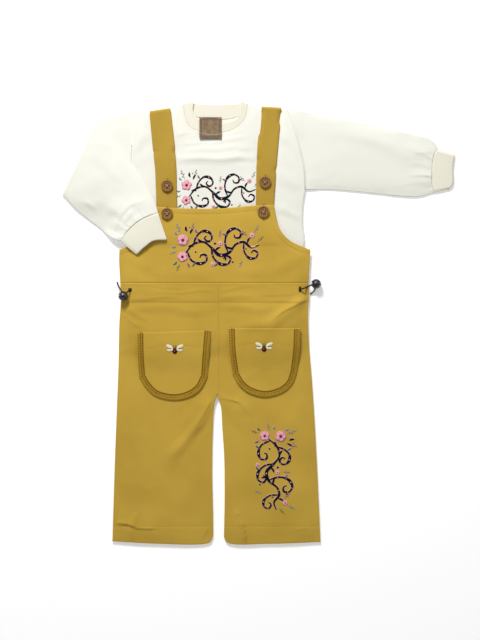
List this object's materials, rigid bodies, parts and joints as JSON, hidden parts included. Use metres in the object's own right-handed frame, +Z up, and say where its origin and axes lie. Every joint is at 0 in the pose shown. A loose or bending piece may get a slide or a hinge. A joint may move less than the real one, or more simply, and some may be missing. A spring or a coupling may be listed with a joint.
{
  "type": "child's co-ord set of a sweatshirt and bib dungarees",
  "caption": "Child's co-ord set laid flat: cream sweatshirt with one sleeve folded over, under mustard bib dungarees with buttoned straps, patch pockets and a waist drawcord.",
  "frame": {"origin": "on the surface it lies on, under the middle of the set's outline", "axes": "+X to the viewer's right along the stretched sleeve, +Y along the body towards the neck, +Z up off the surface"},
  "size_m": [0.5494, 0.6202, 0.0207],
  "materials": {
    "cream_jersey": "soft matt brushed jersey",
    "cream_rib": "matt rib knit",
    "mustard_twill": "matt cotton twill",
    "tan_label": "plain woven label",
    "brown_button": "wood-look, half gloss",
    "dark_cord": "braided elastic cord",
    "gunmetal": "dark metallic, half gloss"
  },
  "bodies": {
    "root": {"top_back": "cream_jersey", "top_front": "cream_jersey", "sleeve_out": "cream_jersey", "sleeve_folded": "cream_jersey", "cuff_out": "cream_rib", "cuff_folded": "cream_rib", "neck_rib_back": "cream_rib", "neck_rib_front": "cream_rib", "neck_label": "tan_label", "bib_front": "mustard_twill", "bib_back": "mustard_twill", "strap_left": "mustard_twill", "strap_right": "mustard_twill", "trouser_front_left": "mustard_twill", "trouser_front_right": "mustard_twill", "trouser_back_left": "mustard_twill", "trouser_back_right": "mustard_twill", "pocket_left": "mustard_twill", "pocket_right": "mustard_twill", "button_strap_left": "brown_button", "button_strap_right": "brown_button", "button_bib_left": "brown_button", "button_bib_right": "brown_button", "cord_left": "dark_cord", "cord_right": "dark_cord", "toggle_left": "gunmetal", "toggle_right": "gunmetal"}
  },
  "joints": []
}
